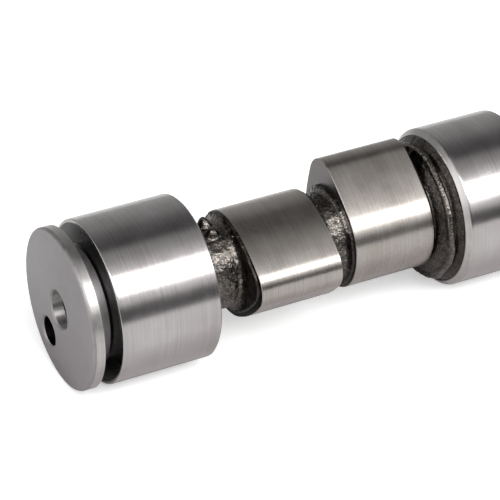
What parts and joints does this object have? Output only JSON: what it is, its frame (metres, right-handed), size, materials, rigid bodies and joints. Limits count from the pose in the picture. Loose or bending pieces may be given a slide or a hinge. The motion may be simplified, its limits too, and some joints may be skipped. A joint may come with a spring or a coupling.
{
  "type": "camshaft",
  "caption": "One-piece cast camshaft for an in-line overhead-cam engine, with ground journals and cam lobes, a thrust groove and an offset drive hole.",
  "frame": {"origin": "centre of the flat thrust-end face, on which the shaft stands", "axes": "+Z along the shaft to the drive end, +X is the side that faced up in the reference view"},
  "size_m": [0.0404, 0.0404, 0.4119],
  "materials": {
    "cast_iron": "ground bright on journals and lobes, as cast on the necks",
    "dowel_steel": "ground"
  },
  "bodies": {
    "root": {"camshaft": "cast_iron", "dowel_pin": "dowel_steel"}
  },
  "joints": []
}
